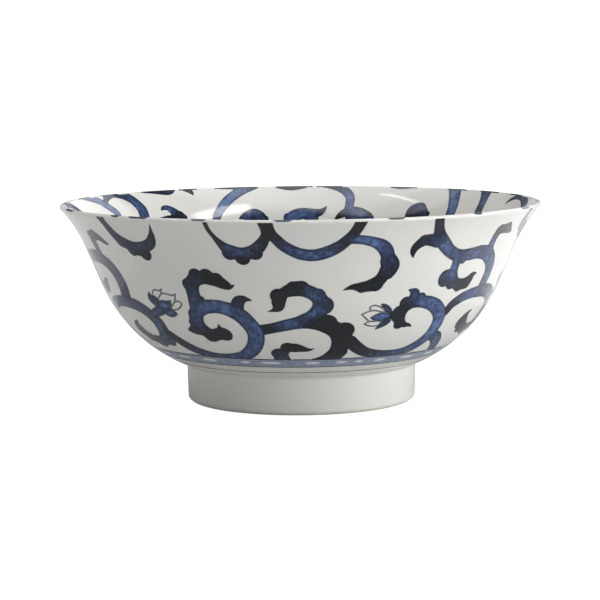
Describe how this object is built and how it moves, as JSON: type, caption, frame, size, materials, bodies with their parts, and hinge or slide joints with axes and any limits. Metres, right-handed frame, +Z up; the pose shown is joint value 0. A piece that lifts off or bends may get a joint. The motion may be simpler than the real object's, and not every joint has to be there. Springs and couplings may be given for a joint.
{
  "type": "porcelain serving bowl",
  "caption": "Deep round serving bowl in glazed porcelain with a flared lip, a turned foot ring, cobalt scroll painting inside and out, and a waist band.",
  "frame": {"origin": "centre of the foot's standing face, on the bowl's axis", "axes": "+Z up the bowl's axis, -Y towards the side that is seen in front view"},
  "size_m": [0.21, 0.21, 0.087],
  "materials": {
    "porcelain": "fired white porcelain, bare and slightly matt where it shows",
    "clear_glaze": "clear gloss glaze over white porcelain",
    "cobalt_scroll": "underglaze cobalt wash with darker outlines and pools",
    "cobalt_wash": "even mid-blue underglaze band",
    "cobalt_line": "thin dark underglaze line"
  },
  "bodies": {
    "root": {"bowl_wall": "porcelain", "foot_ring": "porcelain", "outer_glaze": "clear_glaze", "inner_glaze": "clear_glaze", "foot_glaze": "clear_glaze", "base_glaze": "clear_glaze", "outer_scroll_front": "cobalt_scroll", "outer_scroll_right": "cobalt_scroll", "outer_scroll_back": "cobalt_scroll", "waist_band": "cobalt_wash", "band_top_line": "cobalt_line", "band_bottom_line": "cobalt_line", "foot_line": "cobalt_line", "inner_scroll_back": "cobalt_scroll", "inner_scroll_front": "cobalt_scroll", "well_ring_outer": "cobalt_line", "well_ring_inner": "cobalt_line", "well_flower": "cobalt_scroll"}
  },
  "joints": []
}
